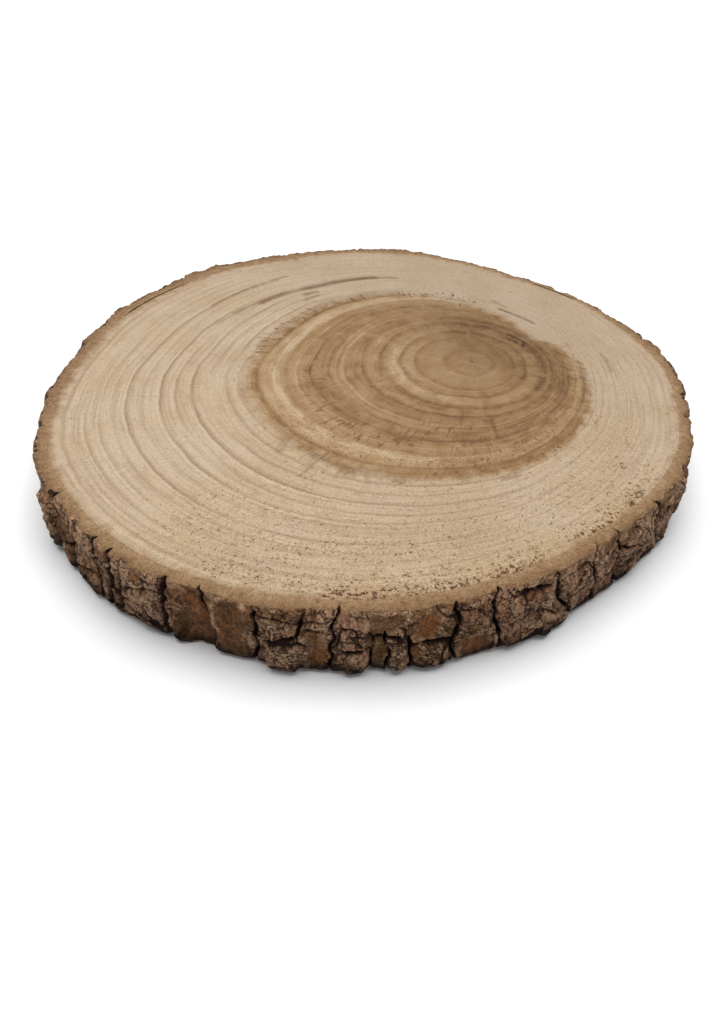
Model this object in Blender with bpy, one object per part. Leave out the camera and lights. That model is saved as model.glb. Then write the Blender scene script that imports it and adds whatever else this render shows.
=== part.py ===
"""A slice sawn across a tree trunk, with its rough bark still grown on it.

The slice is one natural piece: a flat disc of wood whose side is bark. The outline is a smooth
closed curve, and the bark's fissures, cracks, plates and bare patches are raised from it or cut
into it by formula. Lengths are in millimetres and angles in degrees until the mesh is made.
Angles run counter-clockwise from +X, seen from above, about the middle of the sawn face.
Depths run down from the upper sawn face.
"""
import math

import bmesh
import bpy
import numpy as np

METRES_PER_MM = 0.001

# Driving dimensions
THICKNESS = 26.0
PITH = (39.5, 7.0)

# Radii of the outer bark and of the wood under it, every 15 degrees
BARK_RADII = (119.5, 118, 118, 115.5, 117.5, 119, 118, 115.5, 117.5, 116.5, 117, 116.5,
              119, 124, 126, 126.5, 125, 122, 119, 116, 113.5, 115, 117, 117)
WOOD_RADII = (114.5, 113.5, 113.5, 111.5, 112.5, 114, 112.5, 109.5, 110.5, 110.5, 111, 111,
              114.5, 119.5, 121, 121.5, 120.5, 117.5, 114, 111, 109, 110, 112, 112.5)
MEAN_RADIUS = 118.0
MM_PER_DEGREE = math.radians(MEAN_RADIUS)
THINNEST_BARK = 0.9

# Fissures: angle at the top, angle at the bottom, half width, groove depth, first and last depth
FISSURES = (
    (3.5, 2.5, 1.2, 1.4, 0, 26), (10.5, 11.5, 1.6, 2.4, 0, 26), (17, 16, 1.2, 1.7, 0, 26),
    (24.5, 25.5, 1.1, 1.3, 0, 26), (32, 31, 1.2, 1.4, 0, 26), (37.5, 38.5, 1, 1.2, 5, 26),
    (44, 43, 1.7, 1.9, 0, 26), (51, 52, 1.2, 1.3, 0, 26), (58, 57.5, 1.1, 1.5, 0, 26),
    (64.5, 65.5, 1.2, 1.7, 0, 26), (72, 71, 1, 1.4, 0, 20), (78, 79, 1.3, 1.8, 0, 26),
    (85, 84, 1.9, 2.4, 0, 26), (92, 93, 1.2, 1.7, 0, 26), (98, 97.5, 1, 1.4, 3, 26),
    (103, 104, 1.9, 2.4, 0, 26), (110, 109, 1.2, 1.8, 0, 26), (117.5, 118.5, 1.2, 1.9, 0, 26),
    (123, 123, 1, 1.4, 4, 26), (129, 128, 1.7, 2.9, 0, 26), (137, 138, 1.3, 2.1, 0, 26),
    (145, 144.5, 1.2, 2, 0, 26), (150, 151, 1, 1.4, 0, 17), (155, 156, 1.9, 2.9, 0, 26),
    (163, 162, 1.5, 2, 0, 26), (170.5, 171.5, 1.2, 1.8, 0, 26), (177, 176.5, 1, 1.4, 0, 26),
    (184, 185.5, 1.2, 2.8, 0, 26), (190, 191.5, 1.1, 2.6, 0, 26), (196.8, 198.5, 1.6, 3.2, 0, 26),
    (201, 203, 1.3, 2.8, 0, 26), (208.4, 209.4, 1.5, 4, 0, 26), (213, 213.6, 1.2, 2.8, 0, 26),
    (220.5, 220.6, 1.9, 4.4, 0, 26), (224, 222.6, 1.5, 4.4, 0, 26), (232.8, 232.4, 2.5, 3.6, 0, 26),
    (238.2, 240.2, 1.3, 3.8, 0, 26), (245.4, 245.8, 1.3, 4, 3, 26), (251.9, 251.4, 0.8, 2.4, 0, 13),
    (256.4, 255.4, 1, 4, 0, 26), (261, 261.3, 0.9, 3.2, 12, 26), (263.3, 263.4, 1, 3.8, 11, 26),
    (266.6, 266.4, 1, 2.6, 13, 26), (272.6, 272.9, 1.5, 3.8, 2, 26), (278.2, 280, 1.7, 4.2, 0, 26),
    (288.4, 293.6, 1.2, 2.8, 2, 26), (297, 299.4, 1.5, 3.8, 0, 26), (302.6, 305.4, 1.6, 4.2, 0, 26),
    (308.6, 311.2, 1, 2.2, 6, 26), (313.8, 318.6, 1.9, 4.2, 0, 26), (322, 324, 1.2, 3.2, 0, 26),
    (328.6, 329.8, 1.3, 3, 0, 26), (334.5, 335, 1.1, 2.6, 0, 26), (341, 340, 1.4, 3, 0, 26),
    (348.5, 349, 1.2, 1.4, 0, 26), (355.5, 354.5, 1.1, 1.4, 0, 26),
)
FISSURE_WANDER = 0.28
FISSURE_FADE = 2.5
SHOULDER_SHARE = 0.16
SHOULDER_REACH = 2.2

# Cracks across the bark: start angle and depth, end angle and depth, half width, groove depth
CRACKS = (
    (198.5, 14, 203, 10, 0.9, 1.3), (209.5, 17, 213.5, 13, 0.9, 1.4), (214, 20, 219.5, 14, 0.9, 1.5),
    (225.5, 12, 229.5, 8, 0.8, 1.2), (226, 19, 230.5, 21, 0.9, 1.3), (247.2, 14.5, 251, 11.4, 1, 1.9),
    (252.6, 9.2, 255.6, 9, 0.8, 1.2), (258.2, 10.6, 260.8, 10.4, 0.9, 1.6),
    (257.6, 15.8, 260.8, 15.4, 0.9, 1.6), (262.2, 11.2, 265, 11.4, 1.1, 2.4),
    (266.8, 14.4, 271.8, 15.2, 1, 2.1), (281.8, 2.6, 287.8, 6.2, 1, 2),
    (281.2, 13.8, 286.6, 12.8, 0.8, 1.3), (286.6, 12.8, 290.4, 17.8, 0.8, 1),
    (293.5, 11, 297.5, 8, 0.9, 1.4), (304.4, 8, 309.8, 13, 0.9, 1.3), (307.5, 18, 314.5, 16, 0.9, 1.5),
    (317, 9, 321.5, 7, 0.9, 1.2), (324.5, 15, 328.8, 13, 0.9, 1.4),
)

# Plates that stand proud: first and last angle, first and last depth, height
PLATES = (
    (203.2, 207.6, 4, 24.5, 2.8), (209.8, 212.6, 12, 25.5, 1.4), (214.4, 219.4, 15, 26, 1),
    (225.4, 231.2, 4, 22, 0.7), (247.4, 251.4, 12.4, 26, 1.9), (253.2, 255.9, 2.2, 8.6, 0.8),
    (257.4, 260.7, 3.2, 10, 0.8), (257.4, 260.7, 16.2, 25.5, 1.2), (263.9, 266.1, 12, 24.5, 1.2),
    (267.2, 272, 15.2, 25.5, 1.3), (280.8, 289.4, 6.4, 26, 1.6), (286.5, 293.2, 15, 26, 1.5),
    (305.6, 313.2, 3, 22, 0.8), (319, 321.6, 6, 25, 0.9), (323.4, 328.4, 4, 19, 1.5),
)

# Places where the outer bark has come away: first and last angle, first and last depth, hollow
BARE_PATCHES = (
    (234.8, 239.4, 1.2, 26, 1.8), (234.4, 240, 13, 26, 1.6), (240.4, 245, 1.2, 26, 0.9),
    (252.3, 255.3, 11, 23, 1), (260.9, 263, 8, 26, 1.1), (260.5, 265.4, 1.8, 11, 0.8),
    (267.4, 270.6, 2.4, 13, 0.7), (274.4, 278.4, 16, 26, 0.9), (301, 302.6, 1, 12, 0.6),
)
PATCH_EDGE = 1.3

# The rest of the side, whose cracks, plates and patches are drawn at random from one seed
SEEDED_FROM, SEEDED_TO = 331.0, 555.0
SEED = 11
BARE_CHANCE = 0.28

# Flare of the bark towards the bottom, every 45 degrees
FLARE = (0.2, 0.2, 0.2, 0.3, 0.4, -0.3, 0.6, 0.5)
# Layers of lumps on the bark: width, height, size and seed
LUMP_LAYERS = ((17.0, 13.0, 0.75, 5), (6.0, 5.0, 0.5, 6))

# Mesh density: the widest gap between columns, and the depth of each row
COLUMN_SPACING = 2.3
ROW_DEPTHS = (0.0, 0.9, *np.linspace(2.7, 24.6, 12), THICKNESS)
SHARP_ANGLE = 38.0

# Material name, colour and roughness
SAWN_WOOD = ("sawn_wood", (0.56, 0.40, 0.25, 1.0), 0.75)
CUT_BARK = ("cut_bark", (0.31, 0.20, 0.11, 1.0), 0.85)
BARK = ("bark", (0.13, 0.085, 0.055, 1.0), 0.92)


def around(values, angle):
    """Read a smooth closed curve through evenly spaced values at these angles."""
    values = np.asarray(values, dtype=float)
    place = np.mod(angle, 360.0) * len(values) / 360.0
    index = np.floor(place).astype(int)
    t = place - index
    a, b, c, d = (values[(index + step) % len(values)] for step in (-1, 0, 1, 2))
    return b + 0.5 * t * (c - a + t * (2 * a - 5 * b + 4 * c - d + t * (3 * (b - c) + d - a)))


def turn(angle, start):
    """Signed angle from start to angle, between -180 and 180."""
    return np.mod(angle - start + 180.0, 360.0) - 180.0


def smooth_step(value):
    value = np.clip(value, 0.0, 1.0)
    return value * value * (3.0 - 2.0 * value)


def lumps(angle, depth, width, height, seed):
    """Smooth random lumps between -1 and 1, of this width and height, closed round the slice."""
    columns = round(360.0 * MM_PER_DEGREE / width)
    rows = math.ceil(THICKNESS / height) + 2
    lattice = np.random.default_rng(seed).uniform(-1.0, 1.0, (rows, columns))
    across = np.mod(angle, 360.0) * columns / 360.0
    down = depth / height
    column = np.floor(across).astype(int)
    row = np.floor(down).astype(int)
    u = smooth_step(across - column)
    v = smooth_step(down - row)
    upper = lattice[row, column % columns] * (1 - u) + lattice[row, (column + 1) % columns] * u
    lower = lattice[row + 1, column % columns] * (1 - u) + lattice[row + 1, (column + 1) % columns] * u
    return upper * (1 - v) + lower * v


def fissure_angle(fissure, depth):
    """The angle of a fissure's bottom line at a depth: a slant with a slow wander."""
    top, bottom = fissure[0], fissure[1]
    wander = np.sin(depth * 0.34 + top * 1.7) + 0.5 * np.sin(depth * 0.83 + top)
    return top + (bottom - top) * depth / THICKNESS + FISSURE_WANDER * wander


def fissure_groove(angle, depth):
    """How deep the fissures cut at each place: a steep groove between two rounded shoulders."""
    groove = np.zeros_like(angle)
    for fissure in FISSURES:
        half_width, cut, first, last = fissure[2:]
        off = np.abs(turn(angle, fissure_angle(fissure, depth))) * MM_PER_DEGREE
        shoulder = SHOULDER_SHARE * np.exp(-off / SHOULDER_REACH)
        profile = 1.0 - smooth_step(off / half_width) + shoulder
        ends = np.minimum(depth - first, last - depth) / FISSURE_FADE + 1.0
        groove = np.maximum(groove, cut * profile * smooth_step(ends))
    return groove


def crack_groove(angle, depth, cracks):
    """How deep the cracks cut, each a straight line between its two ends."""
    groove = np.zeros_like(angle)
    for start, start_depth, end, end_depth, half_width, cut in cracks:
        along = (turn(end, start) * MM_PER_DEGREE, end_depth - start_depth)
        x = turn(angle, start) * MM_PER_DEGREE
        y = depth - start_depth
        share = (x * along[0] + y * along[1]) / (along[0] ** 2 + along[1] ** 2)
        share = np.clip(share, 0.0, 1.0)
        off = np.hypot(x - share * along[0], y - share * along[1])
        groove = np.maximum(groove, cut * (1.0 - smooth_step(off / half_width)))
    return groove


def patch_shape(angle, depth, first_angle, last_angle, first_depth, last_depth):
    """1 on a patch with rounded corners, falling to 0 over its edge."""
    half_width = turn(last_angle, first_angle) / 2 * MM_PER_DEGREE
    half_height = (last_depth - first_depth) / 2
    middle = first_angle + turn(last_angle, first_angle) / 2
    x = turn(angle, middle) * MM_PER_DEGREE / half_width
    y = (depth - first_depth - half_height) / half_height
    inside = (1.0 - (x ** 4 + y ** 4) ** 0.25) * min(half_width, half_height)
    return smooth_step(inside / PATCH_EDGE + 0.5)


def seeded_bark():
    """Cracks, plates and bare patches for the blocks of bark that have no listed ones."""
    rng = np.random.default_rng(SEED)
    cracks, plates, patches = [], [], []
    tops = sorted(fissure[0] + 360.0 * (fissure[0] < SEEDED_FROM) for fissure in FISSURES)
    for first, last in zip(tops, tops[1:]):
        if last > SEEDED_TO:
            break
        split = rng.uniform(7.0, 18.0)
        slope = rng.uniform(-2.5, 2.5)
        cracks.append((first + 0.8, split, last - 0.8, split + slope, 0.95, rng.uniform(1.0, 1.9)))
        plates.append((first + 1.0, last - 1.0, 2.0, split - 1.0, rng.uniform(-0.2, 1.1)))
        plates.append((first + 1.0, last - 1.0, split + 1.0, 25.5, rng.uniform(-0.2, 1.3)))
        if rng.random() < BARE_CHANCE:
            patches.append((first + 0.8, last - 0.8, split, 26.0, rng.uniform(1.2, 2.2)))
    return tuple(cracks), tuple(plates), tuple(patches)


def bark_radius(angle, depth):
    """Radius of the bark's surface at an angle and a depth below the upper face."""
    seeded_cracks, seeded_plates, seeded_patches = seeded_bark()
    radius = around(BARK_RADII, angle) + around(FLARE, angle) * (depth / THICKNESS) ** 2
    for width, height, size, seed in LUMP_LAYERS:
        radius = radius + size * lumps(angle, depth, width, height, seed)
    for *place, height in PLATES + seeded_plates:
        radius = radius + height * patch_shape(angle, depth, *place)
    for *place, hollow in BARE_PATCHES + seeded_patches:
        radius = radius - hollow * patch_shape(angle, depth, *place)
    radius = radius - crack_groove(angle, depth, CRACKS + seeded_cracks)
    radius = radius - fissure_groove(angle, depth)
    return np.maximum(radius, around(WOOD_RADII, angle) + THINNEST_BARK)


def column_angles(depth):
    """Angles of the mesh's columns at one depth: three to a fissure and even ones between."""
    fissures = sorted(FISSURES)
    angles = []
    for fissure, following in zip(fissures, fissures[1:] + fissures[:1]):
        centre = fissure_angle(fissure, depth)
        lip = fissure[2] / MM_PER_DEGREE
        angles += [centre - lip, centre, centre + lip]
        gap_at_top = turn(following[0], fissure[0]) * MM_PER_DEGREE - fissure[2] - following[2]
        parts = max(1, round(gap_at_top / COLUMN_SPACING))
        next_lip = fissure_angle(following, depth) - following[2] / MM_PER_DEGREE
        gap = turn(next_lip, centre + lip)
        angles += [centre + lip + gap * part / parts for part in range(1, parts)]
    return np.array(angles)


def ring_points(angles, radius, depth):
    """Points round the slice, in millimetres, with the lower sawn face at zero height."""
    radians = np.radians(angles)
    height = np.full_like(angles, THICKNESS - depth)
    return np.column_stack((radius * np.cos(radians), radius * np.sin(radians), height))


def slice_rings():
    """Rings of points from the wood's edge on the upper face, down the bark, to the lower face."""
    top, bottom = ROW_DEPTHS[0], ROW_DEPTHS[-1]
    rings = [ring_points(column_angles(top), around(WOOD_RADII, column_angles(top)), top)]
    for depth in ROW_DEPTHS:
        angles = column_angles(depth)
        rings.append(ring_points(angles, bark_radius(angles, np.full_like(angles, depth)), depth))
    rings.append(ring_points(column_angles(bottom), around(WOOD_RADII, column_angles(bottom)), bottom))
    return rings


def make_material(name, colour, roughness):
    material = bpy.data.materials.new(name)
    material.use_nodes = True
    material.diffuse_color = colour
    shader = material.node_tree.nodes["Principled BSDF"]
    shader.inputs["Base Color"].default_value = colour
    shader.inputs["Roughness"].default_value = roughness
    shader.inputs["Metallic"].default_value = 0.0
    return material


def make_slice():
    """One closed mesh: two sawn faces fanned from the pith, and the bark between them.

    The origin is the middle of the lower face's box.
    """
    rings = slice_rings()
    points = np.concatenate(rings)
    middle = (points.min(axis=0) + points.max(axis=0)) / 2
    middle[2] = 0.0
    mesh = bmesh.new()
    rows = [[mesh.verts.new((point - middle) * METRES_PER_MM) for point in ring] for ring in rings]
    count = len(rows[0])
    for band, (upper, lower) in enumerate(zip(rows, rows[1:])):
        on_sawn_face = band in (0, len(rows) - 2)
        for index in range(count):
            after = (index + 1) % count
            face = mesh.faces.new((upper[index], lower[index], lower[after], upper[after]))
            face.material_index = 1 if on_sawn_face else 2
            face.smooth = not on_sawn_face
    for row, height in ((rows[0], THICKNESS), (rows[-1], 0.0)):
        pith = mesh.verts.new((np.array((*PITH, height)) - middle) * METRES_PER_MM)
        for index in range(count):
            mesh.faces.new((pith, row[index], row[(index + 1) % count]))
    bmesh.ops.triangulate(mesh, faces=[face for face in mesh.faces if len(face.verts) > 3])
    bmesh.ops.recalc_face_normals(mesh, faces=mesh.faces)

    data = bpy.data.meshes.new("wood_slice")
    mesh.to_mesh(data)
    mesh.free()
    data.set_sharp_from_angle(angle=math.radians(SHARP_ANGLE))
    for material in (SAWN_WOOD, CUT_BARK, BARK):
        data.materials.append(make_material(*material))
    piece = bpy.data.objects.new("wood_slice", data)
    bpy.context.scene.collection.objects.link(piece)


def main():
    for old in list(bpy.data.objects):
        bpy.data.objects.remove(old, do_unlink=True)
    make_slice()


main()
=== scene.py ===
"""The looks of a slice sawn across a tree trunk: its growth rings, its stains and its rough bark.

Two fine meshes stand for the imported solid: a disc of sawn wood and the ring of bark around it.
Both follow the solid's own outline and bark, and add what is too fine for it. Lengths are in
millimetres and angles in degrees until a mesh is made. An angle about the middle of the sawn
face is called angle, and one about the pith is called bearing. Depths run down from the upper
sawn face. Age is a place in the rings: the distance from the pith of the same ring on the
slice's widest side, whose bearing is 180.
"""
import math
from functools import cached_property
from itertools import product

import bpy
import numpy as np
from mathutils import Matrix, Vector


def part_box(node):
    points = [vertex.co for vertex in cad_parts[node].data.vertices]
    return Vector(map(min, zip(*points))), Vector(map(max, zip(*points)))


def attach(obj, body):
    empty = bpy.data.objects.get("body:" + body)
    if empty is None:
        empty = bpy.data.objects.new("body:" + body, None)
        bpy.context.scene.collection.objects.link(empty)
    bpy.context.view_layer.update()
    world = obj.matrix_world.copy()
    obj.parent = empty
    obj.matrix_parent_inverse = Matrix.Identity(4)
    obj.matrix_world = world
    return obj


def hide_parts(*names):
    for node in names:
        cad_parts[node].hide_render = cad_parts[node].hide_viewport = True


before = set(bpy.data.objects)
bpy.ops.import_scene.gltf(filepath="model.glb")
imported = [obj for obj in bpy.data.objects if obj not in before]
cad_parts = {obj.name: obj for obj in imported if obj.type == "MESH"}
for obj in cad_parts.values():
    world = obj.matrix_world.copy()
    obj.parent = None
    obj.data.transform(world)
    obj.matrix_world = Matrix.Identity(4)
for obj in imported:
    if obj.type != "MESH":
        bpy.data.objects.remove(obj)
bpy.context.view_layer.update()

METRES_PER_MM = 0.001

# The slice, as in the part's source
THICKNESS = 26.0
PITH = (39.5, 7.0)

# Radii of the outer bark and of the wood under it, every 15 degrees
BARK_RADII = (119.5, 118, 118, 115.5, 117.5, 119, 118, 115.5, 117.5, 116.5, 117, 116.5,
              119, 124, 126, 126.5, 125, 122, 119, 116, 113.5, 115, 117, 117)
WOOD_RADII = (114.5, 113.5, 113.5, 111.5, 112.5, 114, 112.5, 109.5, 110.5, 110.5, 111, 111,
              114.5, 119.5, 121, 121.5, 120.5, 117.5, 114, 111, 109, 110, 112, 112.5)
MEAN_RADIUS = 118.0
MM_PER_DEGREE = math.radians(MEAN_RADIUS)
THINNEST_BARK = 0.9

# Fissures: angle at the top, angle at the bottom, half width, groove depth, and the first and last
# depth of those that don't run all the way down
FISSURES = (
    (3.5, 2.5, 1.2, 1.4), (10.5, 11.5, 1.6, 2.4), (17, 16, 1.2, 1.7), (24.5, 25.5, 1.1, 1.3),
    (32, 31, 1.2, 1.4), (37.5, 38.5, 1, 1.2, 5, 26), (44, 43, 1.7, 1.9), (51, 52, 1.2, 1.3),
    (58, 57.5, 1.1, 1.5), (64.5, 65.5, 1.2, 1.7), (72, 71, 1, 1.4, 0, 20), (78, 79, 1.3, 1.8),
    (85, 84, 1.9, 2.4), (92, 93, 1.2, 1.7), (98, 97.5, 1, 1.4, 3, 26), (103, 104, 1.9, 2.4),
    (110, 109, 1.2, 1.8), (117.5, 118.5, 1.2, 1.9), (123, 123, 1, 1.4, 4, 26), (129, 128, 1.7, 2.9),
    (137, 138, 1.3, 2.1), (145, 144.5, 1.2, 2), (150, 151, 1, 1.4, 0, 17), (155, 156, 1.9, 2.9),
    (163, 162, 1.5, 2), (170.5, 171.5, 1.2, 1.8), (177, 176.5, 1, 1.4), (184, 185.5, 1.2, 2.8),
    (190, 191.5, 1.1, 2.6), (196.8, 198.5, 1.6, 3.2), (201, 203, 1.3, 2.8), (208.4, 209.4, 1.5, 4),
    (213, 213.6, 1.2, 2.8), (220.5, 220.6, 1.9, 4.4), (224, 222.6, 1.5, 4.4), (232.8, 232.4, 2.5, 3.6),
    (238.2, 240.2, 1.3, 3.8), (245.4, 245.8, 1.3, 4, 3, 26), (251.9, 251.4, 0.8, 2.4, 0, 13),
    (256.4, 255.4, 1, 4), (261, 261.3, 0.9, 3.2, 12, 26), (263.3, 263.4, 1, 3.8, 11, 26),
    (266.6, 266.4, 1, 2.6, 13, 26), (272.6, 272.9, 1.5, 3.8, 2, 26), (278.2, 280, 1.7, 4.2),
    (288.4, 293.6, 1.2, 2.8, 2, 26), (297, 299.4, 1.5, 3.8), (302.6, 305.4, 1.6, 4.2),
    (308.6, 311.2, 1, 2.2, 6, 26), (313.8, 318.6, 1.9, 4.2), (322, 324, 1.2, 3.2), (328.6, 329.8, 1.3, 3),
    (334.5, 335, 1.1, 2.6), (341, 340, 1.4, 3), (348.5, 349, 1.2, 1.4), (355.5, 354.5, 1.1, 1.4),
)
# How far they wander, in degrees, and the waves of it: turn to a millimetre, start and share
FISSURE_WANDER = 0.28
FISSURE_WAVES = ((0.34, 1.7, 1.0), (0.83, 1.0, 0.5))
# How far past its ends one fades out, and its shoulders: their share of its depth, and their reach
FISSURE_FADE, SHOULDER_SHARE, SHOULDER_REACH = 2.5, 0.16, 2.2
# Their width here as a share of that in the solid, whose faces are wider, and how ragged they are
NARROWING, RAGGED, RAGGED_LUMPS = 0.5, 0.55, (1.7, 1.5, 75)
# Near the upper rim they lose this share of their depth
RIM_SHALLOW, RIM_SHALLOW_DEPTH = 0.48, 4.5

# Cracks across the bark: start angle and depth, end angle and depth, half width, groove depth
CRACKS = (
    (198.5, 14, 203, 10, 0.9, 1.3), (209.5, 17, 213.5, 13, 0.9, 1.4), (214, 20, 219.5, 14, 0.9, 1.5),
    (225.5, 12, 229.5, 8, 0.8, 1.2), (226, 19, 230.5, 21, 0.9, 1.3), (247.2, 14.5, 251, 11.4, 1, 1.9),
    (252.6, 9.2, 255.6, 9, 0.8, 1.2), (258.2, 10.6, 260.8, 10.4, 0.9, 1.6),
    (257.6, 15.8, 260.8, 15.4, 0.9, 1.6), (262.2, 11.2, 265, 11.4, 1.1, 2.4),
    (266.8, 14.4, 271.8, 15.2, 1, 2.1), (281.8, 2.6, 287.8, 6.2, 1, 2), (281.2, 13.8, 286.6, 12.8, 0.8, 1.3),
    (286.6, 12.8, 290.4, 17.8, 0.8, 1), (293.5, 11, 297.5, 8, 0.9, 1.4), (304.4, 8, 309.8, 13, 0.9, 1.3),
    (307.5, 18, 314.5, 16, 0.9, 1.5), (317, 9, 321.5, 7, 0.9, 1.2), (324.5, 15, 328.8, 13, 0.9, 1.4),
)

# Plates that stand proud: first and last angle, first and last depth, height
PLATES = (
    (203.2, 207.6, 4, 24.5, 2.8), (209.8, 212.6, 12, 25.5, 1.4), (214.4, 219.4, 15, 26, 1),
    (225.4, 231.2, 4, 22, 0.7), (247.4, 251.4, 12.4, 26, 1.9), (253.2, 255.9, 2.2, 8.6, 0.8),
    (257.4, 260.7, 3.2, 10, 0.8), (257.4, 260.7, 16.2, 25.5, 1.2), (263.9, 266.1, 12, 24.5, 1.2),
    (267.2, 272, 15.2, 25.5, 1.3), (280.8, 289.4, 6.4, 26, 1.6), (286.5, 293.2, 15, 26, 1.5),
    (305.6, 313.2, 3, 22, 0.8), (319, 321.6, 6, 25, 0.9), (323.4, 328.4, 4, 19, 1.5),
)

# Places where the outer bark has come away: first and last angle, first and last depth, hollow
BARE_PATCHES = (
    (234.8, 239.4, 1.2, 26, 1.8), (234.4, 240, 13, 26, 1.6), (240.4, 245, 1.2, 26, 0.9),
    (252.3, 255.3, 11, 23, 1), (260.9, 263, 8, 26, 1.1), (260.5, 265.4, 1.8, 11, 0.8),
    (267.4, 270.6, 2.4, 13, 0.7), (274.4, 278.4, 16, 26, 0.9), (301, 302.6, 1, 12, 0.6),
)
# How soft the edges of plates and of bare patches are, and how far lumps bend the latter
PATCH_EDGE, BARE_EDGE, BARE_BEND = 1.3, 3.2, 1.8
BARE_BEND_LUMPS = ((5.0, 8.0, 77), (4.0, 4.0, 78))

# The rest of the side, whose cracks, plates and patches are drawn at random from one seed
SEEDED_FROM, SEEDED_TO = 331.0, 555.0
SEED = 11
BARE_CHANCE, BARE_HOLLOWS = 0.28, (1.2, 2.2)
# Each block is split once across: the split's depth, rise and cut, and how proud its halves are
SPLIT_DEPTHS, SPLIT_SLOPES, SPLIT_CUTS, SPLIT_HALF_WIDTH = (7.0, 18.0), (-2.5, 2.5), (1.0, 1.9), 0.95
UPPER_PLATES, LOWER_PLATES = (-0.7, 1.5), (-0.2, 1.3)
# Where the upper half starts and the lower one ends, and how far cracks and plates keep from fissures
PLATE_TOP, PLATE_FOOT = -2.0, 25.5
BLOCK_MARGIN, PLATE_MARGIN = 0.8, 1.0

# Flare of the bark towards the bottom, every 45 degrees
FLARE = (0.2, 0.2, 0.2, 0.3, 0.4, -0.3, 0.6, 0.5)
# Layers of lumps on the bark: width, height, size and seed
LUMP_LAYERS = ((17.0, 13.0, 0.75, 5), (6.0, 5.0, 0.5, 6))

# The rings, from circles round the pith to the wood's outline: share of the way out from the
# pith, and how much of the outline's own shape a ring has there
RING_SHAPE = ((0, 0), (0.1, -0.01), (0.2, 0.02), (0.3, 0.02), (0.42, 0.19), (0.55, 0.41),
              (0.7, 0.61), (0.85, 0.88), (1, 1))
# The outline's mean distance from the pith, and how far rings half way out lie off to one side
MEAN_REACH, RING_LEAN = 110.0, 3.5
# Kinks in the rings, every 15 degrees of bearing, and where along the way out they show
RING_KINKS = (-0.3, 0.9, 0.6, 1.3, 1.5, 2.1, 1.2, 0.2, 0.4, -0.6, -1.6, -0.8,
              1.2, -0.1, -0.2, -0.4, -0.1, 0.8, 2.1, 1.5, -0.2, -0.9, -0.9, -1.0)
KINK_SHARE = ((0, 0), (0.3, 0.05), (0.56, 1), (0.85, 0.8), (1, 0))
# The bearing on which ages are counted
WIDEST = 180.0
# The search for a place's age: the furthest share, the halvings and the outline's step
FURTHEST_SHARE, HALVINGS, OUTLINE_STEP = 1.1, 24, 0.25

# Ages of the dark ring lines, from the pith to the bark
RING_LINES = (0, 10, 22.3, 27.5, 36, 43, 49.5, 55.5, 62, 67, 72, 82, 88, 93, 99, 105, 110.7, 116,
              122, 127.5, 132, 136.5, 141, 144.5, 148, 160)
# How clear the ring lines are, every 30 degrees of bearing
RING_CLARITY = (0.55, 0.4, 0.22, 0.18, 0.35, 0.8, 0.9, 0.9, 0.8, 0.7, 0.6, 0.55)
# How bright the wood is, every 30 degrees of bearing
WOOD_TONES = (0.91, 0.87, 0.85, 0.84, 0.88, 0.96, 1.0, 1.01, 0.98, 0.965, 0.95, 0.915)
# How dark the heartwood's bands are, by age: 0 is pale and 1 is dark
HEART_TONES = (
    (0, 0.5), (8, 0.44), (10, 0.58), (12, 0.38), (20, 0.44), (22.3, 0.56), (24, 0.4), (26.5, 0.42),
    (28, 0.6), (29.5, 0.3), (33, 0.38), (35.5, 0.68), (38, 0.44), (40.5, 0.36), (43, 0.68), (48, 0.5),
    (50.5, 0.36), (52, 0.62), (53.5, 0.36), (56, 0.62), (60, 0.5), (62.5, 0.68), (64.5, 0.46), (69, 0.36),
    (71, 0.5), (73, 0.3), (75.5, 0.06), (77.5, 0.26), (80, 0.22), (82, 0.7), (84.5, 0.4), (90, 0.4),
)
# The age at the end of the scale on which these bands are read
OLDEST = 160.0
# Age at which the heartwood ends, every 15 degrees of bearing
HEART_EDGES = (82, 66, 53, 58, 70, 74, 80, 84, 86, 86.5, 86, 86.5, 86.5, 85, 86, 88, 89, 90, 91, 92,
               91, 90, 87, 85)
# How wide its soft edge is, every 30 degrees
HEART_SOFTNESS = (22, 24, 26, 20, 16, 15, 14, 18, 14, 10, 12, 18)

# Broad dark zones: first bearing and age, last bearing and age, half width, strength
SHADES = (
    (350, 17, 80, 17, 6, 0.4), (335, 37, 75, 35, 13, 0.6), (20, 28, 60, 28, 5, 0.3),
    (250, 76, 300, 76, 2.6, 0.3), (60, 48, 82, 50, 4, 0.2), (318, 52, 352, 54, 11, 0.5),
    (250, 85, 300, 86, 3, 0.4), (280, 64, 315, 64, 8, 0.35), (130, 85, 178, 86, 4, 0.12),
    (225, 40, 325, 42, 12, 0.28), (225, 60, 300, 58, 9, 0.25), (175, 62, 225, 62, 8, 0.12),
    (345, 60, 20, 58, 8, 0.25),
)
# Broad pale zones, given the same way
GLOWS = (
    (150, 25.5, 205, 26, 2, 0.3), (150, 31, 240, 31.5, 2.4, 0.32), (240, 32.5, 325, 32, 2, 0.3),
    (140, 51.5, 250, 51.5, 1.6, 0.12), (190, 76, 240, 76, 3, 0.12), (95, 76, 150, 77, 3, 0.35),
    (150, 66, 225, 67, 5, 0.12), (70, 72, 110, 74, 6, 0.35),
)
# How blurred these zones are, as a share of their half width
ZONE_BLUR = 1.9
# Keeps a mark that has no length from dividing by nothing
NOT_ZERO = 1e-6

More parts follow.
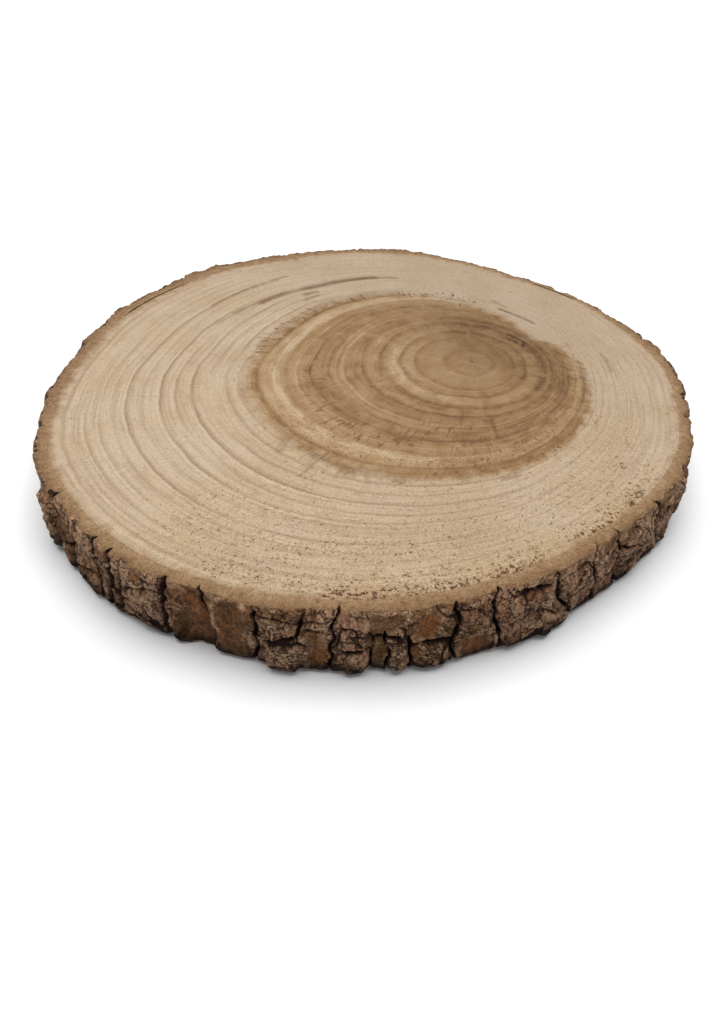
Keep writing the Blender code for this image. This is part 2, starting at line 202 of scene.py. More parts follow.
# Streaks and spots, given as the shades are
STREAKS = (
    (0, 0.6, 60, 0.6, 1.2, 0.5), (196, 3, 204, 8, 0.5, 0.3), (292, 3, 300, 8, 0.5, 0.3),
    (108, 87.5, 134, 88.5, 3.6, 0.3), (138, 86, 166, 86.5, 3.0, 0.22), (232, 87, 262, 87.5, 2.6, 0.24),
    (102.5, 109.5, 107.5, 110.5, 1.5, 0.75), (109, 111, 131, 110.3, 2.7, 1.0),
    (130, 110.3, 144, 111.6, 2.2, 0.9), (140, 112.4, 152, 113.5, 1.4, 0.7),
    (150, 113.4, 158, 113.8, 1.0, 0.35), (129, 131.5, 133, 130, 1.3, 0.5), (132, 129, 151, 127.8, 0.8, 0.85),
    (130, 103, 133, 103.2, 1.6, 0.7), (131, 99, 136, 97.5, 0.9, 0.7), (42, 82, 60.5, 83, 2.1, 0.8),
    (60.5, 90.5, 65.5, 94, 1.9, 0.5), (68, 88, 76, 89, 1.2, 0.3), (55.5, 74, 57, 78, 1.6, 0.3),
    (13, 85, 14.5, 86, 1.6, 0.45), (0, 112, 2, 113, 1.2, 0.65), (349, 111, 359, 112.4, 1.8, 0.5),
    (318, 82, 329.5, 81.5, 1.2, 0.7), (1.7, 72.6, 6.5, 60.6, 1.0, 0.95), (346.7, 71, 348.9, 56.7, 0.8, 0.95),
    (353.5, 85.5, 356.6, 81, 1.0, 0.85), (348.6, 86, 350.4, 81, 0.9, 0.9), (338.7, 84, 341, 77, 1.2, 1.0),
    (337.4, 73.1, 338.3, 54.5, 1.5, 0.55), (14.9, 70, 20.1, 60.7, 1.1, 0.65), (4.1, 44, 11, 36.5, 1.4, 0.65),
    (326.1, 88, 331.7, 81.6, 1.4, 0.65), (329.5, 50, 331.5, 57, 0.9, 0.5),
    (355.5, 114.8, 361.3, 111, 0.9, 0.6), (59, 56, 62, 64, 1.2, 0.65), (66, 58, 84, 58, 1.6, 0.6),
    (25, 34.6, 43, 34.8, 2.6, 0.5), (39, 35.4, 44, 36, 0.9, 1.5), (38, 32.2, 41.5, 32.8, 0.8, 1.5),
    (31.6, 32.8, 35, 33.2, 0.9, 1.5), (34.4, 35.8, 36.8, 36.2, 0.8, 1.4), (26, 35.6, 29.4, 36.2, 0.9, 1.5),
    (23.6, 33.4, 26, 34, 0.9, 1.5), (47, 41, 56, 43.5, 1.4, 0.6), (10, 33, 14, 32.6, 0.7, 0.8),
    (84, 28, 92, 28.6, 1, 0.5), (60, 28, 74, 29, 1.4, 0.4), (226, 31, 228, 33, 2, 0.4),
    (266.6, 46, 266.7, 61, 0.6, 1.0), (267.5, 24, 267.6, 37, 1.3, 0.5), (262, 66, 262.6, 75, 0.45, 0.6),
    (276, 69, 277, 78, 0.6, 0.6), (251.2, 38, 251.6, 49, 0.6, 0.6), (262, 62, 276, 62.4, 0.7, 0.8),
    (264.5, 94.4, 268.5, 95, 1.1, 0.75), (270.5, 83, 273.5, 88, 0.8, 0.6), (286.5, 52, 288, 58, 0.7, 0.5),
    (309, 66, 310, 82, 0.9, 0.45), (220.6, 82, 221.8, 99, 0.6, 0.7), (226.5, 86, 227.5, 95, 0.7, 0.55),
    (209.5, 84, 213, 92, 1.5, 0.45), (215, 86, 229, 88.5, 1.6, 0.5), (239, 90.5, 241, 91, 0.8, 0.8),
    (189.5, 37, 191.5, 37.6, 0.5, 0.8), (184, 27, 207, 27, 1, 0.5), (134, 66.6, 170, 65.4, 1, 0.5),
    (303, 72, 304.5, 74, 1, 0.5), (314.5, 88.6, 316, 89, 0.7, 0.6), (77.6, 140, 78.2, 141, 0.6, 0.6),
)
# Zones of short radial ticks, given as the shades are
TICKS = (
    (75, 84, 104, 83, 5, 1.3), (66, 70, 86, 68, 4, 1.0), (205, 69, 230, 69, 3, 1.0),
    (185, 62, 262, 62, 7, 0.9), (194, 41, 236, 40, 3, 0.8), (240, 54, 262, 56, 8, 0.8),
    (262, 76, 300, 72, 6, 0.9), (270, 56, 310, 58, 5, 0.6), (288, 62, 300, 66, 4, 0.4),
    (120, 85, 170, 86, 5, 0.9), (205, 88, 232, 90, 6, 0.3), (240, 82, 300, 86, 6, 0.7),
    (80, 44, 130, 46, 5, 0.4), (330, 72, 368, 76, 8, 0.7), (95, 62, 150, 60, 6, 0.4),
    (300, 86, 345, 80, 6, 0.5),
)
# Zones where the saw tore the wood: first bearing and age, last bearing and age, half width, share
TORN = (
    (232, 131, 246, 131, 7, 0.55), (240, 151, 266, 151, 2.8, 1.3), (276, 150.5, 292, 150, 2.8, 1.2),
    (226, 146, 300, 146, 5, 0.6), (222, 130, 300, 130, 22, 0.34), (293, 134, 297, 135, 2, 0.9),
    (306, 97, 311, 98, 2, 0.6), (300, 150, 330, 149, 3, 0.3), (238, 91, 242, 91.4, 1.4, 0.6),
    (228, 112, 305, 112, 30, 0.25), (0, 120, 359, 120, 60, 0.05), (200, 77, 320, 77, 5, 0.35),
)

# The sawn faces' own relief: its depth, how much torn wood adds, its lumps' size and seed, how
# torn the lower face is, and the side of the square that the lumps lie on
SAW_DEPTH, TORN_DEPTH = 0.08, 0.12
SAW_LUMPS = (2.2, 83)
LOWER_TORN = 0.3
FACE_SPAN = 300.0

# Where the bark has lifted off the wood: first angle, last angle and gap, and how slowly it opens
LIFTED = ((129, 151, 0.9), (28, 43, 1.0))
LIFT_FADE = 4.0
# Elsewhere it starts this far under the wood's edge
SEAM_OVERLAP = 0.1

# Fine relief on the bark: width, height and size of each layer of lumps, and its seed
FINE_LAYERS = ((2.6, 3.4, 0.15, 21), (1.3, 1.7, 0.13, 22), (0.9, 1.1, 0.1, 23))
FIBRE_LAYERS = ((1.1, 14.0, 0.22, 31), (0.6, 5.0, 0.1, 32))
# How much of the fibres shows on whole bark, and of the flakes is lost on bare bark
FIBROUS = 0.3
FLAKES_LOST = 0.85
# Layers of flakes: width, height, step between flakes, depth of the cracks around them, seed
FLAKE_LAYERS = ((6.6, 3.8, 0.28, 0.42, 41), (2.4, 1.6, 0.08, 0.2, 42))
# Their cracks' width, where in its cell a flake's middle may lie, and spare rows past each rim
FLAKE_CRACK, FLAKE_JITTER, SPARE_ROWS = 0.5, (0.1, 0.9), 2
# The bark's forms are bent by this much, in layers of lumps: width, height, size and seed
BENDS = ((5.0, 5.0, 0.75, 51), (1.8, 2.0, 0.35, 53))
# Curling cracks: width and height of their loops, half width as a share of them, depth and seed
CURLS = ((7.0, 10.0, 0.08, 0.7, 61), (3.4, 4.6, 0.08, 0.25, 62))
# The rims: chips off the upper one, and a rounding and calmer relief on both
RIM_CHIP = 0.4
CHIP_LUMPS = (2.6, 2.0, 71)
UPPER_ROUNDING, LOWER_ROUNDING = (0.15, 1.2), (1.6, 2.8)
RIM_CALM = 0.65
RIM_CALM_DEPTH = 3.5
# The cut at which a groove is darkest, its darkening partly darker bark and partly painted shade, how dark
# flakes' borders are, and the cut that ends bare bark
DARKEST_GROOVE, SCAR_SHARE, BARE_LIMIT = 2.6, 0.5, 2.0
# How wide the browner rim of the sawn faces is, every 30 degrees
RIM_WIDTHS = (7.5, 7.5, 8.0, 10.0, 11.5, 11.5, 10.5, 8.5, 9.0, 9.5, 9.0, 8.0)
# Painted shadow along the bark's foot, where it meets the floor: its strength and height
PAINTED_FOOT_SHADOW, PAINTED_FOOT_SHADOW_HEIGHT = 0.6, 7.0
# How far the sawn face's colour spills down the bark, every 30 degrees, and how unevenly
SPILLS = (1.2, 1.5, 1.5, 1.5, 1.5, 1.5, 1.8, 1.4, 0.7, 0.9, 2.6, 2.8)
SPILL_RAGGED, LEAST_SPILL, SPILL_LUMPS = 0.95, 0.2, (3.4, 2.0, 93)
# How bright the bark is, every 30 degrees
BARK_TONES = (1.0, 1.0, 1.0, 1.0, 1.0, 1.0, 1.04, 1.15, 0.98, 1.06, 1.04, 0.97)
# How much of the dark bark shows along the face's outer edge, every 30 degrees
DARK_EDGES = (1.0, 0.9, 0.8, 0.6, 0.8, 0.9, 0.9, 1.0, 0.2, 0.0, 0.1, 0.8)
# How dark it is, from where on across the cut bark, and how patchy
DARK_EDGE, EDGE_FROM = 0.42, 0.6
EDGE_LEAST, EDGE_SPREAD, EDGE_CONTRAST, EDGE_LUMPS = 0.3, 0.9, 1.4, (3.2, 3.0, 95)
# The cut bark's relief: how far it lies under the wood, its roughness, its drop towards the
# side and how rough that is, and its lumps, with the depths at which they are read
CUT_SINK, CUT_ROUGH, CUT_DROP, DROP_ROUGH = 0.06, 0.08, 0.5, 0.4
CUT_LUMPS, CUT_ROW, CUT_ROWS = (1.3, 1.0, 91), 9.0, 6.0

# Mesh density: cells across the sawn faces, and the bark's columns and rows
TOP_CELLS = 272
BOTTOM_CELLS = TOP_CELLS // 2
BARK_COLUMNS, BARK_SIDE_ROWS = 1700, 44
# The first and last row's depth, and how far across the cut bark its rings of points lie
SIDE_DEPTHS = (1.0, THICKNESS - 0.9)
BAND_SHARES = (0.0, 0.1, 0.26, 0.42, 0.58, 0.74, 0.88, 1.0)
# Edges that turn by more than this stay sharp
SHARP_ANGLE = 50.0

# Maps for baking: each face's size and middle on it, the edge's size and corner, and the strips
MAP_SPAN = 250.0
TOP_MAP = (0.77, (0.395, 0.6))
BOTTOM_MAP = (0.34, (0.82, 0.18))
EDGE_MAP_SIZE, EDGE_MAP_CORNER = (0.6, 0.015), (0.01, 0.01)
STRIPS_ACROSS, STRIPS_UP = 2, 4
MAP_MARGIN = 0.005

# The camera: the frame's height and the view length in pixels, and the sensor's longer side
FRAME_HEIGHT_PIXELS, VIEW_LENGTH_PIXELS, SENSOR = 1024, 838.1, 36.0
# Its direction and roll, and its distance from a place on the upper sawn face that it looks at
CAMERA_BEARING, CAMERA_ELEVATION, CAMERA_ROLL = -9.8, 40.49, 2.59
CAMERA_DISTANCE, CAMERA_TARGET = 257.5, (-16.04, -78.03)
# The nearest thing that it sees, in metres
CLIP_START = 0.01

# The floor, the world and the lamp, with lengths in metres and the lamp's power in watts
FLOOR_WHITE = (0.86, 0.86, 0.865, 1.0)
FLOOR_ROUGHNESS, FLOOR_SIZE, FLOOR_GAP = 0.9, 8.0, 0.0002
WORLD_STRENGTH = 0.36
LIGHT_BACK, LIGHT_HEIGHT, LIGHT_SIZE = 0.7, 5.0, 4.9
LIGHT_WATTS = 315.0


def around(values, angle):
    """Read a smooth closed curve through evenly spaced values at these angles."""
    values = np.asarray(values, dtype=float)
    place = np.mod(angle, 360.0) * len(values) / 360.0
    index = np.floor(place).astype(int)
    t = place - index
    a, b, c, d = (values[(index + step) % len(values)] for step in (-1, 0, 1, 2))
    return b + 0.5 * t * (c - a + t * (2 * a - 5 * b + 4 * c - d + t * (3 * (b - c) + d - a)))


def turn(angle, start):
    """Signed angle from start to angle, between -180 and 180."""
    return np.mod(angle - start + 180.0, 360.0) - 180.0


def smooth_step(value):
    """0 below 0 and 1 above 1, with a smooth way between them."""
    value = np.clip(value, 0.0, 1.0)
    return value * value * (3.0 - 2.0 * value)


def blend_lattice(lattice, across, down):
    """Read a lattice of random values smoothly, closed across and held at its ends downwards."""
    rows, columns = lattice.shape
    column = np.floor(across).astype(int)
    row = np.clip(np.floor(down).astype(int), 0, rows - 2)
    u = smooth_step(across - column)
    v = smooth_step(down - row)
    left, right = column % columns, (column + 1) % columns
    upper = lattice[row, left] * (1 - u) + lattice[row, right] * u
    lower = lattice[row + 1, left] * (1 - u) + lattice[row + 1, right] * u
    return upper * (1 - v) + lower * v


def lumps(angle, depth, width, height, seed):
    """Smooth random lumps between -1 and 1, of this width and height, closed round the slice."""
    columns = round(360.0 * MM_PER_DEGREE / width)
    rows = math.ceil(THICKNESS / height) + 2
    lattice = np.random.default_rng(seed).uniform(-1.0, 1.0, (rows, columns))
    return blend_lattice(lattice, np.mod(angle, 360.0) * columns / 360.0, depth / height)


def lump_layers(angle, depth, layers):
    """The sum of several layers of lumps, each given as width, height, size and seed."""
    return sum(size * lumps(angle, depth, width, height, seed) for width, height, size, seed in layers)


def fissure_groove(angle, depth):
    """How deep the fissures cut at each place: a steep groove between two rounded shoulders."""
    groove = np.zeros_like(angle)
    ragged = RAGGED * lumps(angle, depth, *RAGGED_LUMPS)
    share = 1.0 - RIM_SHALLOW * smooth_step(1.0 - depth / RIM_SHALLOW_DEPTH)
    for top, bottom, half_width, cut, *depths in FISSURES:
        first, last = depths or (0.0, THICKNESS)
        wander = sum(size * np.sin(depth * rate + top * start) for rate, start, size in FISSURE_WAVES)
        middle = top + (bottom - top) * depth / THICKNESS + FISSURE_WANDER * wander
        off = np.abs(turn(angle, middle)) * MM_PER_DEGREE / NARROWING
        off = np.maximum(off + ragged, 0.0)
        shoulder = SHOULDER_SHARE * np.exp(-off / SHOULDER_REACH)
        profile = 1.0 - smooth_step(off / half_width) + shoulder
        ends = np.minimum(depth - first, last - depth) / FISSURE_FADE + 1.0
        groove = np.maximum(groove, cut * share * profile * smooth_step(ends))
    return groove


def off_line(x, y, end_x, end_y):
    """Distance of each place from a straight line that runs from 0, 0 to this end."""
    share = (x * end_x + y * end_y) / (end_x ** 2 + end_y ** 2 + NOT_ZERO)
    share = np.clip(share, 0.0, 1.0)
    return np.hypot(x - share * end_x, y - share * end_y)


def crack_groove(angle, depth, cracks):
    """How deep the cracks cut, each a straight line between its two ends."""
    groove = np.zeros_like(angle)
    for start, start_depth, end, end_depth, half_width, cut in cracks:
        x = turn(angle, start) * MM_PER_DEGREE
        off = off_line(x, depth - start_depth, turn(end, start) * MM_PER_DEGREE, end_depth - start_depth)
        groove = np.maximum(groove, cut * (1.0 - smooth_step(off / half_width)))
    return groove


def patch_shape(angle, depth, first_angle, last_angle, first_depth, last_depth, edge=PATCH_EDGE):
    """1 on a patch with rounded corners, falling to 0 over its edge."""
    half_width = turn(last_angle, first_angle) / 2 * MM_PER_DEGREE
    half_height = (last_depth - first_depth) / 2
    middle = first_angle + turn(last_angle, first_angle) / 2
    x = turn(angle, middle) * MM_PER_DEGREE / half_width
    y = (depth - first_depth - half_height) / half_height
    inside = (1.0 - (x ** 4 + y ** 4) ** 0.25) * min(half_width, half_height)
    return smooth_step(inside / edge + 0.5)


def seeded_bark():
    """Cracks, plates and bare patches for the blocks of bark that have no listed ones."""
    rng = np.random.default_rng(SEED)
    cracks, plates, patches = [], [], []
    tops = sorted(fissure[0] + 360.0 * (fissure[0] < SEEDED_FROM) for fissure in FISSURES)
    for first, last in zip(tops, tops[1:]):
        if last > SEEDED_TO:
            break
        block = (first + BLOCK_MARGIN, last - BLOCK_MARGIN)
        plate = (first + PLATE_MARGIN, last - PLATE_MARGIN)
        split = rng.uniform(*SPLIT_DEPTHS)
        end = split + rng.uniform(*SPLIT_SLOPES)
        cracks.append((block[0], split, block[1], end, SPLIT_HALF_WIDTH, rng.uniform(*SPLIT_CUTS)))
        plates.append((*plate, PLATE_TOP, split - PLATE_MARGIN, rng.uniform(*UPPER_PLATES)))
        plates.append((*plate, split + PLATE_MARGIN, PLATE_FOOT, rng.uniform(*LOWER_PLATES)))
        if rng.random() < BARE_CHANCE:
            patches.append((*block, split, THICKNESS, rng.uniform(*BARE_HOLLOWS)))
    return tuple(cracks), tuple(plates), tuple(patches)


def flakes(angle, depth, width, height, seed):
    """Cells like dried flakes: how far each place is from its flake's border, and the flake's level."""
    rng = np.random.default_rng(seed)
    columns = round(360.0 * MM_PER_DEGREE / width)
    rows = math.ceil(THICKNESS / height) + 2 * SPARE_ROWS
    jitter = rng.uniform(*FLAKE_JITTER, (2, rows, columns))
    levels = rng.uniform(-1.0, 1.0, (rows, columns))
    across = np.mod(angle, 360.0) * columns / 360.0
    down = depth / height + SPARE_ROWS
    column = np.floor(across).astype(int)
    row = np.floor(down).astype(int)
    distances, found = [], []
    for row_step, column_step in product((-1, 0, 1), repeat=2):
        cell = (np.clip(row + row_step, 0, rows - 1), (column + column_step) % columns)
        x = (column + column_step + jitter[0][cell] - across) * width
        y = (row + row_step + jitter[1][cell] - down) * height
        distances.append(np.hypot(x, y))
        found.append(levels[cell])
    own = np.argmin(distances, axis=0)
    nearest, second = np.sort(distances, axis=0)[:2]
    return second - nearest, np.choose(own, found)


def lift(angle):
    """How far the bark stands off the wood."""
    gap = np.zeros_like(angle)
    for first, last, widest in LIFTED:
        middle = (first + last) / 2
        inside = (last - first) / 2 - np.abs(turn(angle, middle))
        gap = np.maximum(gap, widest * smooth_step(inside / LIFT_FADE))
    return gap


def bent_place(angle, depth):
    """The place whose forms show here, so that no form keeps a straight edge."""
    sideways, down = 0.0, 0.0
    for width, height, size, seed in BENDS:
        sideways = sideways + size * lumps(angle, depth, width, height, seed)
        down = down + size * lumps(angle, depth, width, height, seed + 1)
    return angle + sideways / MM_PER_DEGREE, depth + down


def bare_bark(angle, depth, bent, patches):
    """Where the outer bark has come away, from 0 to 1, and how deep a hollow that leaves."""
    sideways, down = (BARE_BEND * lumps(angle, depth, *layer) for layer in BARE_BEND_LUMPS)
    place = (bent[0] + sideways / MM_PER_DEGREE, bent[1] + down)
    bare, hollow = np.zeros_like(angle), np.zeros_like(angle)
    for *patch, cut in patches:
        share = patch_shape(*place, *patch, edge=BARE_EDGE)
        bare = np.maximum(bare, share)
        hollow = hollow + cut * share
    return bare, hollow


def fine_relief(angle, depth, bent, bare):
    """Flakes, curling cracks and fibres: their height, how dark their cracks are, and their tint."""
    flaky = 1.0 - FLAKES_LOST * bare
    fine, scars, tint = (np.zeros_like(angle) for _ in range(3))
    for width, height, step, cut, seed in FLAKE_LAYERS:
        border, level = flakes(*bent, width, height, seed)
        scar = 1.0 - smooth_step(border / FLAKE_CRACK)
        fine = fine + flaky * (step * level - cut * scar)
        scars = np.maximum(scars, scar * cut)
        tint = tint + step * level
    for width, height, share, cut, seed in CURLS:
        curl = 1.0 - smooth_step(np.abs(lumps(angle, depth, width, height, seed)) / share)
        fine = fine - flaky * cut * curl
        scars = np.maximum(scars, curl * cut)
    fine = fine + flaky * lump_layers(angle, depth, FINE_LAYERS)
    fibrous = FIBROUS + (1.0 - FIBROUS) * bare
    fine = fine + fibrous * lump_layers(angle, depth, FIBRE_LAYERS)
    to_rim = np.minimum(depth, THICKNESS - depth)
    calm = 1.0 - RIM_CALM * smooth_step(1.0 - to_rim / RIM_CALM_DEPTH)
    return fine * calm, scars * flaky, tint


def rim_wear(angle, depth):
    """How much the chips and the rounding take off the bark near its two rims."""
    chips = 0.5 + 0.5 * lumps(angle, depth, *CHIP_LUMPS)
    worn = RIM_CHIP * chips * (1.0 - smooth_step(depth / UPPER_ROUNDING[1]))
    for (size, reach), off in ((UPPER_ROUNDING, depth), (LOWER_ROUNDING, THICKNESS - depth)):
        worn = worn + size * (1.0 - np.minimum(off / reach, 1.0)) ** 2
    return worn


def bark_surface(angle, depth):
    """The bark's radius at each angle of one depth, and what its finish depends on."""
    bent = bent_place(angle, depth)
    seeded_cracks, seeded_plates, seeded_patches = seeded_bark()
    bare, hollow = bare_bark(angle, depth, bent, BARE_PATCHES + seeded_patches)
    cracks = crack_groove(*bent, CRACKS + seeded_cracks)
    fissures = fissure_groove(*bent)
    fine, scars, tint = fine_relief(angle, depth, bent, bare)

    radius = around(BARK_RADII, angle) + around(FLARE, angle) * (depth / THICKNESS) ** 2
    radius = radius + lump_layers(angle, depth, LUMP_LAYERS)
    for *place, height in PLATES + seeded_plates:
        radius = radius + height * patch_shape(*bent, *place)
    radius = radius - hollow - rim_wear(angle, depth) - cracks - fissures + fine
    radius = np.maximum(radius, around(WOOD_RADII, angle) + THINNEST_BARK)
    # The hollow look darkens grooves and flakes' borders: partly darker bark, partly painted shade
    looks = {
        "hollow": np.clip((cracks + fissures) / DARKEST_GROOVE + SCAR_SHARE * scars, 0.0, 1.0),
        "bare": bare * (1.0 - smooth_step(fissures / BARE_LIMIT)),
        "tint": np.clip(0.5 + tint, 0.0, 1.0),
        "proud": np.clip(0.5 + fine, 0.0, 1.0),
        "bright": around(BARK_TONES, angle),
    }
    return radius, looks


def rim_look(angle, radius):
    """How far a place on a sawn face lies inside the bark, as a share of the browner rim's width."""
    return np.clip((around(BARK_RADII, angle) - radius) / around(RIM_WIDTHS, angle), 0.0, 1.0)


def wood_reach(bearing):
    """Distance from the pith to the wood's edge."""
    angle = np.arange(0.0, 360.0, OUTLINE_STEP)
    radius = around(WOOD_RADII, angle)
    x = radius * np.cos(np.radians(angle)) - PITH[0]
    y = radius * np.sin(np.radians(angle)) - PITH[1]
    bearings = np.mod(np.degrees(np.arctan2(y, x)), 360.0)
    order = np.argsort(bearings)
    return np.interp(np.mod(bearing, 360.0), bearings[order], np.hypot(x, y)[order], period=360.0)


def ring_distance(share, bearing, reach):
    """Distance from the pith of the ring that lies this share of the way out."""
    outline = np.interp(share, *zip(*RING_SHAPE))
    lean = 4.0 * share * (1.0 - share) * RING_LEAN * np.cos(np.radians(bearing))
    return MEAN_REACH * share + (reach - MEAN_REACH) * outline - lean


def ring_age(distance, bearing):
    """The age at each place on the sawn face, found by halving the stretch that it lies in."""
    reach = wood_reach(bearing)
    kinks = around(RING_KINKS, bearing) / MEAN_REACH
    low = np.zeros_like(distance)
    high = np.full_like(distance, FURTHEST_SHARE)
    for _ in range(HALVINGS):
        share = (low + high) / 2
        kinked = share + kinks * np.interp(share, *zip(*KINK_SHARE))
        too_far = ring_distance(kinked, bearing, reach) > distance
        high = np.where(too_far, share, high)
        low = np.where(too_far, low, share)
    return ring_distance(low, WIDEST, wood_reach(WIDEST))


def mark(bearing, age, distance, first_bearing, first_age, last_bearing, last_age, half_width, blur):
    """1 along a mark that follows the rings or crosses them, falling to 0 around its half width."""
    span = np.mod(last_bearing - first_bearing, 360.0)
    sideways = (turn(bearing, first_bearing + span / 2) + span / 2) * np.radians(distance)
    length = span * np.radians(distance)
    off = off_line(sideways, age - first_age, length, last_age - first_age)
    return smooth_step(0.5 + (1.0 - off / half_width) / blur)


def marks(listed, bearing, age, distance, blur=1.0):
    """The strongest of the listed marks at each place."""
    strongest = np.zeros_like(age)
    for *place, strength in listed:
        strongest = np.maximum(strongest, strength * mark(bearing, age, distance, *place, blur))
    return strongest


def plane_lumps(x, y, size, seed):
    """Smooth random lumps between 0 and 1 over the sawn face."""
    cells = math.ceil(FACE_SPAN / size)
    lattice = np.random.default_rng(seed).uniform(0.0, 1.0, (cells, cells))
    return blend_lattice(lattice, x / size + cells / 2, y / size + cells / 2)


def sawn_face(x, y, upper):
    """What the wood's finish depends on at each place of a sawn face, and how deep it is torn."""
    bearing = np.mod(np.degrees(np.arctan2(y - PITH[1], x - PITH[0])), 360.0)
    distance = np.hypot(x - PITH[0], y - PITH[1])
    age = ring_age(distance, bearing)
    place = (bearing, age, distance)
    torn = marks(TORN, *place) if upper else np.full_like(age, LOWER_TORN)
    inside = (around(HEART_EDGES, bearing) - age) / around(HEART_SOFTNESS, bearing)
    looks = {
        "age": age,
        "ring": np.interp(age, RING_LINES, np.arange(len(RING_LINES))),
        "heart": np.clip(0.5 + inside, 0.0, 1.0),
        "clear": around(RING_CLARITY, bearing),
        "bright": around(WOOD_TONES, bearing),
        "shade": marks(SHADES, *place, ZONE_BLUR) - marks(GLOWS, *place, ZONE_BLUR),
        "streak": marks(STREAKS, *place) if upper else np.zeros_like(age),
        "ticks": marks(TICKS, *place),
        "torn": torn,
        "rim": rim_look(np.degrees(np.arctan2(y, x)), np.hypot(x, y)),
    }
    return looks, (SAW_DEPTH + TORN_DEPTH * torn) * plane_lumps(x, y, *SAW_LUMPS)


def make_mesh(name, points, faces, corner_places, looks, material):
    """A mesh in metres with smooth faces, its own map for baking and a value per look and point."""
    data = bpy.data.meshes.new(name)
    data.from_pydata((points * METRES_PER_MM).tolist(), [], faces)
    data.polygons.foreach_set("use_smooth", np.ones(len(faces), dtype=bool))
    unwrapped = data.uv_layers.new(name="OFBake")
    unwrapped.uv.foreach_set("vector", np.asarray(corner_places, dtype=np.float32).ravel())
    for look, values in looks.items():
        attribute = data.attributes.new(look, "FLOAT", "POINT")
        attribute.data.foreach_set("value", np.asarray(values, dtype=np.float32))
    data.materials.append(material)
    data.set_sharp_from_angle(angle=math.radians(SHARP_ANGLE))
    data.validate()
    piece = bpy.data.objects.new(name, data)
    bpy.context.scene.collection.objects.link(piece)
    return piece


def joined(all_looks):
    """Several lots of points' looks, as one."""
    return {key: np.concatenate([looks[key] for looks in all_looks]) for key in all_looks[0]}


def on_circle(radius, angle):
    """The place at this radius and angle."""
    return radius * np.cos(np.radians(angle)), radius * np.sin(np.radians(angle))


def pressed_square(cells):
    """A square grid pressed into a disc: each point's share of the way out and its angle."""
    line = np.linspace(-1.0, 1.0, cells + 1)
    x, y = (axis.ravel() for axis in np.meshgrid(line, line))
    wide = np.abs(x) >= np.abs(y)
    signed = np.where(wide, x, y)
    other = np.where(wide, y, x)
    lean = 45.0 * other / np.where(signed == 0, 1.0, signed)
    angle = np.where(wide, lean, 90.0 - lean) + 180.0 * (signed < 0)
    return np.abs(signed), angle


def grid(cells, first):
    """The numbers of a square grid's points, row by row, from first on."""
    return first + np.arange((cells + 1) ** 2).reshape(cells + 1, cells + 1)


def border_points(numbers):
    """A grid's border points in order, counter-clockwise from above."""
    return np.concatenate((numbers[0, :-1], numbers[:-1, -1], numbers[-1, :0:-1], numbers[:0:-1, 0]))


def quads(numbers):
    """A grid's faces, which look up."""
    corners = (numbers[:-1, :-1], numbers[:-1, 1:], numbers[1:, 1:], numbers[1:, :-1])
    return np.column_stack([corner.ravel() for corner in corners])


def make_wood(material, middle):
    """The disc of sawn wood: a fine upper face, a coarser lower one and a plain edge."""
    sheets, all_looks = [], []
    for cells, upper in ((TOP_CELLS, True), (BOTTOM_CELLS, False)):
        share, angle = pressed_square(cells)
        x, y = on_circle(share * around(WOOD_RADII, angle), angle)
        looks, torn_depth = sawn_face(x, y, upper)
        height = THICKNESS - torn_depth if upper else torn_depth
        sheets.append(np.column_stack((x - middle[0], y - middle[1], height)))
        all_looks.append(looks)
    top, bottom = grid(TOP_CELLS, 0), grid(BOTTOM_CELLS, len(sheets[0]))
    above, below = border_points(top), border_points(bottom)
    twice = 2 * np.arange(len(below))
    upper_three = [above[(twice + step) % len(above)] for step in (2, 1, 0)]
    edge = np.column_stack((below, np.roll(below, -1), *upper_three))
    faces = (quads(top), quads(bottom)[:, ::-1], edge)

    points = np.concatenate(sheets)
    turned = np.mod(np.degrees(np.arctan2(points[:, 1], points[:, 0])), 360.0) / 360.0
    edge_map = np.column_stack((turned, points[:, 2] / THICKNESS)) * EDGE_MAP_SIZE + EDGE_MAP_CORNER
    maps = [points[:, :2] * (size / MAP_SPAN) + centre for size, centre in (TOP_MAP, BOTTOM_MAP)]
    corners = np.concatenate([places[part.ravel()] for places, part in zip((*maps, edge_map), faces)])
    faces = [face for part in faces for face in part.tolist()]
    return make_mesh("sawn_wood", points, faces, corners, joined(all_looks), material)


def cut_rings(angle, inner, depth, shares):
    """Rings of points across the bark's sawn face at one end of its depth: radius, depth and looks."""
    rim, looks = bark_surface(angle, depth)
    inwards = 1.0 if depth == 0.0 else -1.0
    patchy = smooth_step(0.5 + EDGE_CONTRAST * lumps(angle, 0.0, *EDGE_LUMPS))
    darkest = around(DARK_EDGES, angle) * (EDGE_LEAST + EDGE_SPREAD * patchy)
    rings = []
    for share in shares:
        radius = inner + (rim - inner) * share
        rough = lumps(angle, CUT_ROW + CUT_ROWS * share, *CUT_LUMPS)
        ragged = CUT_SINK + CUT_ROUGH * share * rough
        ragged = ragged + CUT_DROP * share ** 3 * (1.0 - DROP_ROUGH + DROP_ROUGH * rough)
        dark = np.clip(darkest * smooth_step((share - EDGE_FROM) / (1.0 - EDGE_FROM)), 0.0, 1.0)
        hollow = np.maximum(looks["hollow"], DARK_EDGE * dark)
        shown = dict(looks, hollow=hollow, cut=1.0 - dark, rim=rim_look(angle, radius), low=0 * angle)
        rings.append((radius, depth + inwards * ragged, shown))
    return rings


